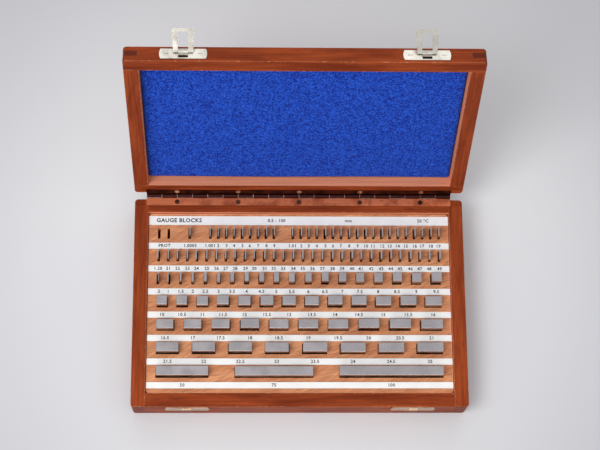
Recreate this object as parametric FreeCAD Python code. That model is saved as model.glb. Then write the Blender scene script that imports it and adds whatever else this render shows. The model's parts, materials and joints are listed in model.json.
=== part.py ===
"""Gauge block set: 112 steel blocks in a slotted tray, in a hinged wooden case standing open.

The origin is the centre of the case's underside, +X to the right, +Y to the hinge, +Z up.
The lid and its fittings are modelled shut, then swung open about the hinge pin.
"""
import FreeCAD, Part
import math
import os
import random

from FreeCAD import Placement, Rotation, Vector

# Gauge blocks, which stand on edge: thickness along X, then depth along Y and height along Z.
BLOCK_DEPTH = 9.0
SHORT_BLOCK = 30.0            # height of the blocks up to 10 mm thick
TALL_BLOCK = 35.0             # height of the thicker blocks
LAST_SHORT_SIZE = 10.0
BLOCK_CHAMFER = 0.3
FIRST_CHAMFERED_SIZE = 10.0
BLOCK_PROUD = 9.0             # how far every block stands above the tray
PROTECTOR = 1.5               # thickness of the two protector blocks, whose slots are empty

# Tray, with seven rows of slots and a label strip in front of each.
TRAY_WIDTH = 295.0
TRAY_CORNER = 3.0
TRAY_EDGE = 0.8
TRAY_WEB = 1.5                # wood left under the deepest slots
TRAY_PLAY = 0.5               # gap between the tray and each wall
ROW_MARGIN = 9.5              # from the tray's ends to the first and last block
SLOT_PLAY = 1.0               # slot width less block thickness
SLOT_LEAST = 2.6              # width of the slots of the thinnest blocks
SLOT_LENGTH = 10.5
BLOCK_GAP = 0.12              # least gap between a block and the sides of its slot
BACK_MARGIN = 2.7
HEADER_WIDTH = 9.0
HEADER_TO_SLOT = 3.55
SLOT_TO_LABEL = 4.2
LABEL_WIDTH = 6.1
LABEL_TO_SLOT = 2.3
FRONT_MARGIN = 4.35
LABEL_THICKNESS = 1.2
LABEL_PROUD = 0.5
LABEL_PLAY = 0.2

# Case of finger-jointed walls, with a board let into the underside and one into the lid.
WALL = 13.5
BOARD = 3.5
BOARD_REBATE = 5.0
TRAY_RECESS = 3.0             # from the rim down to the tray's top
RIM_GAP = 0.3                 # between the two rims when the lid is shut
FOAM = 5.3
FOAM_PLAY = 0.3
FOAM_TO_BLOCKS = 2.5          # above the blocks when the lid is shut
BASE_FINGERS = 6
LID_FINGERS = 3
CORNER_RADIUS = 3.5
OUTER_EDGE = 2.0
RIM_EDGE = 0.8
LID_ANGLE = 106.4             # how far the lid stands open

# Piano hinge along the back.
KNUCKLES = 20
KNUCKLE_LENGTH = 15.0
KNUCKLE_GAP = 0.3
BARREL_RADIUS = 2.2
PIN_RADIUS = 1.1
PIN_CLEARANCE = 0.05
LEAF = 0.9
LEAF_REACH = 10.0             # from the pin's axis to the leaf's edge
LEAF_PLAY = 0.1
AXIS_BEHIND = 3.8             # from the back of the case to the pin's axis
HINGE_SCREWS = 5
HINGE_SCREW_PITCH = 60.0
HINGE_SCREW_REACH = 6.5       # from the pin's axis

# Countersunk slotted screws.
HINGE_HEAD_RADIUS = 2.4
HINGE_SHANK_RADIUS = 1.2
HINGE_SCREW_LENGTH = 9.0
LATCH_HEAD_RADIUS = 2.0
LATCH_SHANK_RADIUS = 1.0
LATCH_SCREW_LENGTH = 8.0
SCREW_PLAY = 0.05
DRIVER_SLOT_WIDTH = 0.6
DRIVER_SLOT_DEPTH = 0.5

# Two snap latches at the front: a plate with a hasp on the lid, a keeper on the base.
LATCH_OFFSET = 108.0          # from the middle of the case
PLATE_LENGTH = 40.0
PLATE = 1.0
PLATE_BULGE = 1.2             # how far the plates' rounded ends bulge
LATCH_PLATE_HEIGHT = 11.0
LATCH_PLATE_RISE = 2.1        # from the lid's rim
KEEPER_HEIGHT = 12.0
KEEPER_DROP = 2.0             # from the base's rim
PLATE_SCREW_OFFSET = 15.0
BRIDGE_WIDTH = 8.7
BRIDGE_WALL = 0.8
NOSE_RADIUS = 3.0
NOSE_DROP = 3.2               # from the keeper's upper edge
HASP_RISE = 9.0               # from the lid's rim to the hasp's pivot
HASP_OUT = 2.4                # from the front of the case to the hasp's pivot
HASP_PIVOT_RADIUS = 1.0
HASP_THICKNESS = 1.0
HASP_HEEL = 0.8               # how far the arms reach behind the pivot
HASP_PIVOT_WIDTH = 17.5
HASP_END_WIDTH = 20.5
HASP_END = 3.0
HASP_CORNER = 3.0
HASP_SIDE_GAP = 0.3
HASP_ANGLE = 140.0            # how far the hasps stand open

# What follows from the sizes above.
TRAY_DEPTH = (BACK_MARGIN + HEADER_WIDTH + HEADER_TO_SLOT + FRONT_MARGIN
              + 7 * (SLOT_LENGTH + SLOT_TO_LABEL + LABEL_WIDTH) + 6 * LABEL_TO_SLOT)
CASE_WIDTH = TRAY_WIDTH + 2 * (TRAY_PLAY + WALL)
CASE_DEPTH = TRAY_DEPTH + 2 * (TRAY_PLAY + WALL)
TRAY_TOP = BOARD + TRAY_WEB + TALL_BLOCK - BLOCK_PROUD
BASE_HEIGHT = TRAY_TOP + TRAY_RECESS
LID_RIM = BASE_HEIGHT + RIM_GAP
LID_HEIGHT = TRAY_TOP + BLOCK_PROUD + FOAM_TO_BLOCKS - LID_RIM + FOAM + BOARD
LID_TOP = LID_RIM + LID_HEIGHT
FRONT = -CASE_DEPTH / 2
BACK = CASE_DEPTH / 2
AXIS_Y = BACK + AXIS_BEHIND
AXIS_Z = BASE_HEIGHT + RIM_GAP / 2
HASP_Y = FRONT - HASP_OUT
HASP_Z = LID_RIM + HASP_RISE
KEEPER_TOP = BASE_HEIGHT - KEEPER_DROP
NOSE_Z = KEEPER_TOP - NOSE_DROP
EVERYWHERE = 1000.0

SIDES = {"left": -1, "right": 1}


def sizes(first, last, step):
    """Nominal sizes from first to last, each step above the one before."""
    count = round((last - first) / step) + 1
    return [round(first + index * step, 4) for index in range(count)]


# Each row is a list of groups: node name or None for empty slots, sizes, gap before the
# group and gap between its blocks. A row's gaps are stretched alike until it fills the tray.
ROWS = (
    ((None, [PROTECTOR, PROTECTOR], 0.0, 7.8),
     ("gauge_1_0005", [1.0005], 19.2, 0.0),
     ("gauges_1_001_to_1_009", sizes(1.001, 1.009, 0.001), 19.1, 6.75),
     ("gauges_1_01_to_1_19", sizes(1.01, 1.19, 0.01), 17.4, 6.85)),
    (("gauges_1_20_to_1_49", sizes(1.20, 1.49, 0.01), 0.0, 1.0),),
    (("gauges_0_5_to_9_5", sizes(0.5, 9.5, 0.5), 0.0, 1.0),),
    (("gauges_10_to_16", sizes(10.0, 16.0, 0.5), 0.0, 1.0),),
    (("gauges_16_5_to_21", sizes(16.5, 21.0, 0.5), 0.0, 1.0),),
    tuple((f"gauge_{size:g}".replace(".", "_"), [size], float(size > 21.5), 0.0)
          for size in sizes(21.5, 25.0, 0.5)),
    tuple((f"gauge_{size}", [float(size)], float(size > 50), 0.0) for size in (50, 75, 100)),
)


def box(x, y, z):
    """Box between three (low, high) pairs."""
    return Part.makeBox(x[1] - x[0], y[1] - y[0], z[1] - z[0], Vector(x[0], y[0], z[0]))


def centred(middle, width):
    """The (low, high) pair of this width about a middle."""
    return (middle - width / 2, middle + width / 2)


def rod(radius, x, y, z):
    """Cylinder along X between the pair x, about the line through y and z."""
    return Part.makeCylinder(radius, x[1] - x[0], Vector(x[0], y, z), Vector(1, 0, 0))


def edges_along_z(shape):
    """The upright edges of a block."""
    return [edge for edge in shape.Edges if edge.BoundBox.ZLength > edge.BoundBox.DiagonalLength / 2]


def edges_at_z(shape, height):
    """The edges that lie flat at a height."""
    return [edge for edge in shape.Edges
            if abs(edge.BoundBox.ZMin - height) < 1e-6 and edge.BoundBox.ZLength < 1e-6]


def screw(head, out, head_radius, shank_radius, length, play=0.0):
    """Countersunk screw whose head is centred on a point and faces along out.

    With some play it is the hole for that screw, and has no driver slot.
    """
    cone = head_radius - shank_radius
    outline = [Vector(0, 0, 0), Vector(head_radius + play, 0, 0), Vector(shank_radius + play, 0, -cone),
               Vector(shank_radius + play, 0, -length), Vector(0, 0, -length), Vector(0, 0, 0)]
    shape = Part.Face(Part.makePolygon(outline)).revolve(Vector(0, 0, 0), Vector(0, 0, 1), 360)
    if not play:
        shape = shape.cut(box(centred(0, 2.2 * head_radius), centred(0, DRIVER_SLOT_WIDTH),
                              (-DRIVER_SLOT_DEPTH, 1.0)))
    shape.Placement = Placement(head, Rotation(Vector(0, 0, 1), out))
    return shape


def opened(shape):
    """A lid piece swung from shut to the angle at which the lid stands."""
    return shape.rotated(Vector(0, AXIS_Y, AXIS_Z), Vector(1, 0, 0), -LID_ANGLE)


# Blocks, slots and label strips.

def row_back(row):
    """Y of the back of a row's slots."""
    pitch = SLOT_LENGTH + SLOT_TO_LABEL + LABEL_WIDTH + LABEL_TO_SLOT
    return TRAY_DEPTH / 2 - BACK_MARGIN - HEADER_WIDTH - HEADER_TO_SLOT - row * pitch


def block_height(size):
    """Height of the block of a nominal size."""
    return SHORT_BLOCK if size <= LAST_SHORT_SIZE else TALL_BLOCK


def slot_width(size):
    """Width of the slot of a nominal size."""
    return max(size + SLOT_PLAY, SLOT_LEAST)


def row_places(groups):
    """Yield (node, size, middle of its slot) along a row that fills the tray's width."""
    metal = sum(sum(group[1]) for group in groups)
    gaps = sum(group[2] + (len(group[1]) - 1) * group[3] for group in groups)
    stretch = (TRAY_WIDTH - 2 * ROW_MARGIN - metal) / gaps
    x = -TRAY_WIDTH / 2 + ROW_MARGIN
    for node, group_sizes, gap_before, gap_between in groups:
        x += stretch * (gap_before - gap_between)
        for size in group_sizes:
            x += stretch * gap_between + size / 2
            yield node, size, x
            x += size / 2


def slot(row, size, x):
    """The space that is cut from the tray for one block."""
    floor = TRAY_TOP + BLOCK_PROUD - block_height(size)
    back = row_back(row)
    return box(centred(x, slot_width(size)), (back - SLOT_LENGTH, back), (floor, TRAY_TOP + 1.0))


def block(row, size, x, chance):
    """One gauge block on its slot's floor, a little to one side as it was put back."""
    side = (slot_width(size) - size) / 2 - BLOCK_GAP
    length = (SLOT_LENGTH - BLOCK_DEPTH) / 2 - BLOCK_GAP
    top = TRAY_TOP + BLOCK_PROUD
    middle = x + side * chance.uniform(-1.0, 1.0)
    y = row_back(row) - SLOT_LENGTH / 2 + length * chance.uniform(-0.2, 1.0)
    shape = box(centred(middle, size), centred(y, BLOCK_DEPTH), (top - block_height(size), top))
    if size < FIRST_CHAMFERED_SIZE:
        return shape
    return shape.makeChamfer(BLOCK_CHAMFER, shape.Edges)


def gauge_blocks():
    """Every block, by node."""
    nodes = {}
    for row, groups in enumerate(ROWS):
        chance = random.Random(row)
        for node, size, x in row_places(groups):
            if node:
                nodes.setdefault(node, []).append(block(row, size, x, chance))
    return nodes


def label_bands():
    """The (low, high) pair along Y of each label strip, the header first."""
    header_front = TRAY_DEPTH / 2 - BACK_MARGIN - HEADER_WIDTH
    bands = [(header_front, header_front + HEADER_WIDTH)]
    for row in range(len(ROWS)):
        back = row_back(row) - SLOT_LENGTH - SLOT_TO_LABEL
        bands.append((back - LABEL_WIDTH, back))
    return bands


def label_strips():
    """The header strip and the seven label strips, by node."""
    names = ["header_strip"] + [f"label_strip_{row + 1}" for row in range(len(ROWS))]
    top = TRAY_TOP + LABEL_PROUD
    width = TRAY_WIDTH - 2 * LABEL_PLAY
    return {name: [box(centred(0, width), band, (top - LABEL_THICKNESS, top))]
            for name, band in zip(names, label_bands())}


def tray():
    """The slotted and grooved wooden tray."""
    body = box(centred(0, TRAY_WIDTH), centred(0, TRAY_DEPTH), (BOARD, TRAY_TOP))
    body = body.makeFillet(TRAY_CORNER, edges_along_z(body))
    body = body.makeFillet(TRAY_EDGE, edges_at_z(body, TRAY_TOP))
    cuts = [slot(row, size, x) for row, groups in enumerate(ROWS) for _, size, x in row_places(groups)]
    groove_floor = TRAY_TOP + LABEL_PROUD - LABEL_THICKNESS
    for low, high in label_bands():
        cuts.append(box(centred(0, TRAY_WIDTH + 2), (low - LABEL_PLAY, high + LABEL_PLAY),
                        (groove_floor, TRAY_TOP + 1.0)))
    return body.cut(Part.makeCompound(cuts))


# Case.

def rounded_block(low, high, outer):
    """Outside form of the base or lid; outer is the height of its board's side."""
    shape = box(centred(0, CASE_WIDTH), centred(0, CASE_DEPTH), (low, high))
    shape = shape.makeFillet(CORNER_RADIUS, edges_along_z(shape))
    rim = low + high - outer
    shape = shape.makeFillet(OUTER_EDGE, edges_at_z(shape, outer))
    return shape.makeFillet(RIM_EDGE, edges_at_z(shape, rim))


def corner_fingers(low, high, count, parity):
    """Blocks at the four corners, on every second finger of the joint."""
    finger = (high - low) / count
    blocks = []
    for index in range(parity, count, 2):
        z = (low + index * finger, low + (index + 1) * finger)
        for x in (-1, 1):
            for y in (-1, 1):
                blocks.append(box(centred(x * (CASE_WIDTH - WALL) / 2, WALL),
                                  centred(y * (CASE_DEPTH - WALL) / 2, WALL), z))
    return Part.makeCompound(blocks)


def board(low):
    """Bottom board or lid board, let into the walls from outside."""
    reach = 2 * (BOARD_REBATE - WALL)
    return box(centred(0, CASE_WIDTH + reach), centred(0, CASE_DEPTH + reach), (low, low + BOARD))


def walls(low, high, fingers, outer, board_shape):
    """The four walls by side; the front and back walls have the lowest finger."""
    form = rounded_block(low, high, outer)
    long_notches = corner_fingers(low, high, fingers, 1)
    end_notches = corner_fingers(low, high, fingers, 0)
    nodes = {}
    for side, sign in (("front", -1), ("back", 1)):
        wall = box(centred(0, CASE_WIDTH), centred(sign * (CASE_DEPTH - WALL) / 2, WALL), (low, high))
        nodes[side] = wall.common(form).cut(long_notches).cut(board_shape)
    for side, sign in SIDES.items():
        wall = box(centred(sign * (CASE_WIDTH - WALL) / 2, WALL), centred(0, CASE_DEPTH), (low, high))
        nodes[side] = wall.common(form).cut(end_notches).cut(board_shape)
    return nodes


def base_case():
    """Walls and bottom board of the base, by node."""
    bottom = board(0.0)
    sides = walls(0.0, BASE_HEIGHT, BASE_FINGERS, 0.0, bottom)
    for side in ("left", "right", "back"):
        sides[side] = sides[side].cut(leaf_rebate(-1))
    sides["back"] = sides["back"].cut(hinge_screw_set(-1, SCREW_PLAY))
    sides["front"] = sides["front"].cut(keeper_screw_set(SCREW_PLAY))
    nodes = {f"base_{side}_wall": [wall] for side, wall in sides.items()}
    nodes["base_bottom_board"] = [bottom]
    return nodes


def lid_case():
    """Walls, board and foam of the lid, by node, as when shut."""
    top = board(LID_TOP - BOARD)
    sides = walls(LID_RIM, LID_TOP, LID_FINGERS, LID_TOP, top)
    sides["back"] = sides["back"].cut(leaf_rebate(1)).cut(hinge_screw_set(1, SCREW_PLAY))
    sides["front"] = sides["front"].cut(latch_screw_set(SCREW_PLAY))
    nodes = {f"lid_{side}_wall": [wall] for side, wall in sides.items()}
    nodes["lid_top_board"] = [top]
    inset = 2 * (WALL + FOAM_PLAY)
    nodes["lid_foam_liner"] = [box(centred(0, CASE_WIDTH - inset), centred(0, CASE_DEPTH - inset),
                                   (LID_TOP - BOARD - FOAM, LID_TOP - BOARD))]
    return nodes


# Hinge. Its side is -1 for the base's leaf, below the pin's axis, and 1 for the lid's.

def leaf_heights(side):
    """The (low, high) pair of a leaf, flush with its rim."""
    rim = AXIS_Z + side * RIM_GAP / 2
    return tuple(sorted((rim, rim + side * LEAF)))


def leaf_rebate(side):
    """The step along the back of a rim that a leaf lies in."""
    low, high = leaf_heights(side)
    reach = LEAF_REACH - AXIS_BEHIND + LEAF_PLAY
    if side < 0:
        high += RIM_GAP / 2
    else:
        low -= RIM_GAP / 2
    return box(centred(0, CASE_WIDTH + 2), (BACK - reach, BACK + 1), (low, high))


def hinge_screw_set(side, play=0.0):
    """The screws of one leaf, or their holes if there is play."""
    rim = AXIS_Z + side * RIM_GAP / 2
    heads = [Vector((index - (HINGE_SCREWS - 1) / 2) * HINGE_SCREW_PITCH, AXIS_Y - HINGE_SCREW_REACH, rim)
             for index in range(HINGE_SCREWS)]
    return [screw(head, Vector(0, 0, -side), HINGE_HEAD_RADIUS, HINGE_SHANK_RADIUS, HINGE_SCREW_LENGTH, play)
            for head in heads]


def hinge_leaf(side, first_knuckle):
    """One leaf with every second knuckle, counted from the left."""
    half = KNUCKLES * KNUCKLE_LENGTH / 2
    leaf = box((-half, half), (AXIS_Y - LEAF_REACH, AXIS_Y), leaf_heights(side))
    knuckles = []
    notches = []
    for index in range(KNUCKLES):
        x = -half + (index + 0.5) * KNUCKLE_LENGTH
        if index % 2 == first_knuckle:
            knuckles.append(rod(BARREL_RADIUS, centred(x, KNUCKLE_LENGTH - KNUCKLE_GAP), AXIS_Y, AXIS_Z))
        else:
            notches.append(box(centred(x, KNUCKLE_LENGTH + KNUCKLE_GAP),
                               (AXIS_Y - BARREL_RADIUS - KNUCKLE_GAP, AXIS_Y + 1),
                               centred(AXIS_Z, 2 * BARREL_RADIUS)))
    ends = [box((x, x + KNUCKLE_GAP), (AXIS_Y - BARREL_RADIUS - KNUCKLE_GAP, AXIS_Y + 1),
                centred(AXIS_Z, 2 * BARREL_RADIUS)) for x in (-half - KNUCKLE_GAP / 2, half - KNUCKLE_GAP / 2)]
    bore = rod(PIN_RADIUS + PIN_CLEARANCE, (-half - 1, half + 1), AXIS_Y, AXIS_Z)
    leaf = leaf.cut(Part.makeCompound(notches + ends)).multiFuse(knuckles).removeSplitter()
    return leaf.cut(Part.makeCompound([bore] + hinge_screw_set(side, SCREW_PLAY)))


def hinge_pin():
    """The pin through all the knuckles."""
    half = (KNUCKLES * KNUCKLE_LENGTH - KNUCKLE_GAP) / 2
    return rod(PIN_RADIUS, (-half, half), AXIS_Y, AXIS_Z)


# Latches. Each is built about the middle of its plate and moved to its side of the case.

def plate(low, high):
    """Flat plate with bulging ends on the front of the case, between two heights."""
    half = PLATE_LENGTH / 2
    middle = (low + high) / 2
    y = FRONT - PLATE
    corners = [Vector(x, y, z) for x, z in ((-half, low), (half, low), (half, high), (-half, high))]
    tips = [Vector(half + PLATE_BULGE, y, middle), Vector(-half - PLATE_BULGE, y, middle)]
    outline = Part.Wire([
        Part.makeLine(corners[0], corners[1]),
        Part.Arc(corners[1], tips[0], corners[2]).toShape(),
        Part.makeLine(corners[2], corners[3]),
        Part.Arc(corners[3], tips[1], corners[0]).toShape()])
    return Part.Face(outline).extrude(Vector(0, PLATE, 0))


def plate_screws(x, z, play):
    """The two screws of a plate, or their holes if there is play."""
    return [screw(Vector(x + offset, FRONT - PLATE, z), Vector(0, -1, 0), LATCH_HEAD_RADIUS,
                  LATCH_SHANK_RADIUS, LATCH_SCREW_LENGTH, play)
            for offset in (-PLATE_SCREW_OFFSET, PLATE_SCREW_OFFSET)]


def keeper_screw_set(play=0.0):
    """Screws of both keepers, or their holes if there is play."""
    return [shape for sign in SIDES.values()
            for shape in plate_screws(sign * LATCH_OFFSET, KEEPER_TOP - KEEPER_HEIGHT / 2, play)]


def latch_screw_set(play=0.0):
    """Screws of both latch plates, or their holes if there is play."""
    return [shape for sign in SIDES.values()
            for shape in plate_screws(sign * LATCH_OFFSET,
                                      LID_RIM + LATCH_PLATE_RISE + LATCH_PLATE_HEIGHT / 2, play)]


def keeper(sign):
    """Keeper with the pressed-out nose that the hasp snaps over."""
    x = centred(0, BRIDGE_WIDTH)
    nose = rod(NOSE_RADIUS, x, FRONT, NOSE_Z)
    nose = nose.common(box(x, (FRONT - NOSE_RADIUS, FRONT), centred(NOSE_Z, 2 * NOSE_RADIUS)))
    shape = plate(KEEPER_TOP - KEEPER_HEIGHT, KEEPER_TOP).fuse(nose).removeSplitter()
    shape = shape.cut(rod(NOSE_RADIUS - PLATE, x, FRONT, NOSE_Z))
    shape = shape.translated(Vector(sign * LATCH_OFFSET, 0, 0))
    return shape.cut(Part.makeCompound(keeper_screw_set(SCREW_PLAY)))


def latch_plate(sign):
    """Plate on the lid with the bridge that holds the hasp's pivot."""
    x = centred(0, BRIDGE_WIDTH)
    bore_radius = HASP_PIVOT_RADIUS + PIN_CLEARANCE
    bridge_radius = bore_radius + BRIDGE_WALL
    bridge = rod(bridge_radius, x, HASP_Y, HASP_Z)
    bridge = bridge.fuse(box(x, (HASP_Y, FRONT - PLATE), centred(HASP_Z, 2 * bridge_radius)))
    low = LID_RIM + LATCH_PLATE_RISE
    shape = plate(low, low + LATCH_PLATE_HEIGHT).fuse(bridge).removeSplitter()
    shape = shape.cut(rod(bore_radius, x, HASP_Y, HASP_Z))
    shape = shape.translated(Vector(sign * LATCH_OFFSET, 0, 0))
    return shape.cut(Part.makeCompound(latch_screw_set(SCREW_PLAY)))


def hasp(sign):
    """Flared wire-edged loop that turns in the bridge; built hanging, then swung open."""
    inner_half = BRIDGE_WIDTH / 2 + HASP_SIDE_GAP
    window_end = HASP_Z - NOSE_Z + NOSE_RADIUS
    length = window_end + HASP_END
    y = HASP_Y - HASP_THICKNESS / 2
    top = HASP_Z + HASP_HEEL
    pivot_half = HASP_PIVOT_WIDTH / 2
    end_half = HASP_END_WIDTH / 2
    outline = Part.makePolygon([
        Vector(-pivot_half, y, top), Vector(pivot_half, y, top), Vector(end_half, y, HASP_Z - length),
        Vector(-end_half, y, HASP_Z - length), Vector(-pivot_half, y, top)])
    frame = Part.Face(outline).extrude(Vector(0, HASP_THICKNESS, 0))
    ends = [edge for edge in frame.Edges if edge.BoundBox.YLength > HASP_THICKNESS / 2
            and edge.BoundBox.ZMax < HASP_Z - length + 1e-6]
    frame = frame.makeFillet(HASP_CORNER, ends)
    window = box((-inner_half, inner_half), centred(HASP_Y, 2 * HASP_THICKNESS),
                 (HASP_Z - window_end, top + 1))
    shape = frame.cut(window).fuse(rod(HASP_PIVOT_RADIUS, (-pivot_half + 1, pivot_half - 1), HASP_Y, HASP_Z))
    shape = shape.removeSplitter().rotated(Vector(0, HASP_Y, HASP_Z), Vector(1, 0, 0), -HASP_ANGLE)
    return shape.translated(Vector(sign * LATCH_OFFSET, 0, 0))


def base_nodes():
    """Every piece that stays with the base, by node."""
    nodes = base_case()
    nodes["gauge_tray"] = [tray()]
    nodes.update(label_strips())
    nodes.update(gauge_blocks())
    nodes["hinge_leaf_base"] = [hinge_leaf(-1, 1)]
    nodes["hinge_pin"] = [hinge_pin()]
    nodes["hinge_screws_base"] = hinge_screw_set(-1)
    nodes["keeper_screws"] = keeper_screw_set()
    for side, sign in SIDES.items():
        nodes[f"keeper_{side}"] = [keeper(sign)]
    return nodes


def lid_nodes():
    """Every piece that swings with the lid, by node, as when shut."""
    nodes = lid_case()
    nodes["hinge_leaf_lid"] = [hinge_leaf(1, 0)]
    nodes["hinge_screws_lid"] = hinge_screw_set(1)
    nodes["latch_screws"] = latch_screw_set()
    for side, sign in SIDES.items():
        nodes[f"latch_plate_{side}"] = [latch_plate(sign)]
        nodes[f"hasp_{side}"] = [hasp(sign)]
    return nodes


def export(node, shapes):
    """Write one node's solids to its STEP file."""
    solids = [solid for shape in shapes for solid in shape.Solids]
    whole = solids[0] if len(solids) == 1 else Part.makeCompound(solids)
    whole.exportStep(os.path.join("parts", f"{node}.step"))
    print(f"{node}: {len(solids)} solid(s), {whole.Volume / 1000:.2f} cm3")


def main():
    """Build and write every node."""
    os.makedirs("parts", exist_ok=True)
    print(f"case {CASE_WIDTH:.1f} x {CASE_DEPTH:.1f}, base {BASE_HEIGHT:.1f}, lid {LID_HEIGHT:.1f} mm")
    for node, shapes in base_nodes().items():
        export(node, shapes)
    for node, shapes in lid_nodes().items():
        export(node, [opened(shape) for shape in shapes])
    hasp_pivot = Vector(0, HASP_Y - AXIS_Y, HASP_Z - AXIS_Z)
    turn = Rotation(Vector(1, 0, 0), -LID_ANGLE)
    place = turn.multVec(hasp_pivot) + Vector(0, AXIS_Y, AXIS_Z)
    print(f"lid pivot y {AXIS_Y:.3f} z {AXIS_Z:.3f}, hasp pivot y {place.y:.3f} z {place.z:.3f}")


main()
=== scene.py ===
"""Cased set of gauge blocks: its finishes, foam liner, size numbers and studio."""
import json
import logging
import math
from collections.abc import Iterable, Sequence
from dataclasses import dataclass, field, replace
from enum import Enum

import bpy
import numpy as np
from mathutils import Matrix, Vector


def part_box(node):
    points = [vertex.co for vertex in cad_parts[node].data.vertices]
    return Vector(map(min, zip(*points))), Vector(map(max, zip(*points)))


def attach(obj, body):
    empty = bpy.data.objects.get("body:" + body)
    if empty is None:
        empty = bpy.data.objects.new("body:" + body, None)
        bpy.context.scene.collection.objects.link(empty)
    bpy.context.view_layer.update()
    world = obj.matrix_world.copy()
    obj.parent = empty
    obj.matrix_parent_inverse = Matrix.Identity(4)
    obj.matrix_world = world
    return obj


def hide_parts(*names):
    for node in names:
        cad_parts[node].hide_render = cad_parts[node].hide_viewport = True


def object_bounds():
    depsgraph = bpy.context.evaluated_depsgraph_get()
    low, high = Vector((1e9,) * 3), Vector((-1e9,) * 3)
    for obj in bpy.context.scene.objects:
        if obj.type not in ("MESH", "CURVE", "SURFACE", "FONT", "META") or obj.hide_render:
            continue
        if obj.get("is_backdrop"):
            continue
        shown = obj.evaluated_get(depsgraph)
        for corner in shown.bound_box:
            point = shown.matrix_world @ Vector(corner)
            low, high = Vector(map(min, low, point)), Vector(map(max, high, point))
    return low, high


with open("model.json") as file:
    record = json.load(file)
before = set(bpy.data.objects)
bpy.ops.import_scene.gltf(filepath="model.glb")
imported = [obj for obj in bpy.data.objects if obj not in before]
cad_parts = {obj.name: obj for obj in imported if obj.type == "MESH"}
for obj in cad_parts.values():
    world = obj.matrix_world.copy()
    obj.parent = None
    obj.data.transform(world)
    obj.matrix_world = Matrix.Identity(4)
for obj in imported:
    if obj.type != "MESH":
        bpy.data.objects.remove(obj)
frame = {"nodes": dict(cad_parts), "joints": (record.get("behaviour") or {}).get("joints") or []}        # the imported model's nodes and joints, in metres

CAD_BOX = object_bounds()
MM = 0.001
Socket = bpy.types.NodeSocket
Colour = tuple[float, float, float, float]

log = logging.getLogger("gauge_block_set")


def paint(red: int, green: int, blue: int) -> Colour:
    """A colour as written on a paint card, in linear light.

    Args:
        red: Red, 0 to 255.
        green: Green, 0 to 255.
        blue: Blue, 0 to 255.

    Returns:
        The linear red, green, blue and full alpha.
    """
    card = np.array([red, green, blue]) / 255.0
    light = np.where(card <= 0.04045, card / 12.92, ((card + 0.055) / 1.055) ** 2.4)
    return (float(light[0]), float(light[1]), float(light[2]), 1.0)


def mesh_points(mesh: bpy.types.Mesh) -> np.ndarray:
    """A mesh's points, one a row."""
    flat = np.zeros(len(mesh.vertices) * 3, np.float32)
    mesh.vertices.foreach_get("co", flat)
    return flat.reshape(-1, 3).astype(float)


class Run(Enum):
    """The way that a board's grain runs, as the turn about Z that lays it along X."""

    WIDTH = 0.0
    DEPTH = 90.0


# Lid frame: the lid is modelled open, and its pieces are square to X, Y and Z only when shut.

@dataclass(frozen=True)
class Leaning:
    """The turn that takes an open lid's point to where it is with the lid shut.

    Attributes:
        angle: Turn about the pivot along +X, in degrees; 0 for what stays still.
        pivot: A point of the hinge line.
    """

    angle: float = 0.0
    pivot: tuple[float, float, float] = (0.0, 0.0, 0.0)

    @property
    def turn(self) -> np.ndarray:
        """The 3 by 3 turn from open to shut."""
        return np.array(Matrix.Rotation(math.radians(self.angle), 3, "X"))

    @property
    def shift(self) -> np.ndarray:
        """The move that follows the turn: pivot less the turned pivot."""
        pivot = np.array(self.pivot)
        return pivot - self.turn @ pivot

    def shut(self, points: np.ndarray) -> np.ndarray:
        """Open points, one a row, moved to the shut lid."""
        return points @ self.turn.T + self.shift

    def opened(self, points: np.ndarray) -> np.ndarray:
        """Shut points, one a row, moved to the open lid."""
        return (points - self.shift) @ self.turn

    def box(self, node: str) -> tuple[np.ndarray, np.ndarray]:
        """The lowest and highest corner of a CAD node with the lid shut."""
        points = self.shut(mesh_points(frame["nodes"][node].data))
        return points.min(axis=0), points.max(axis=0)


def joint_named(name: str) -> dict:
    """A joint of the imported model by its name."""
    return next(joint for joint in frame["joints"] if joint["name"] == name)


def lid_leaning() -> Leaning:
    """The lid's turn from open to shut, from the hinge joint's range."""
    hinge = joint_named("lid_hinge")
    span = hinge["range_deg"][0] * hinge["axis"][0]
    return Leaning(span, tuple(hinge["pos_m"]))


STILL = Leaning()
LID = lid_leaning()


# Node graphs.

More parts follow.
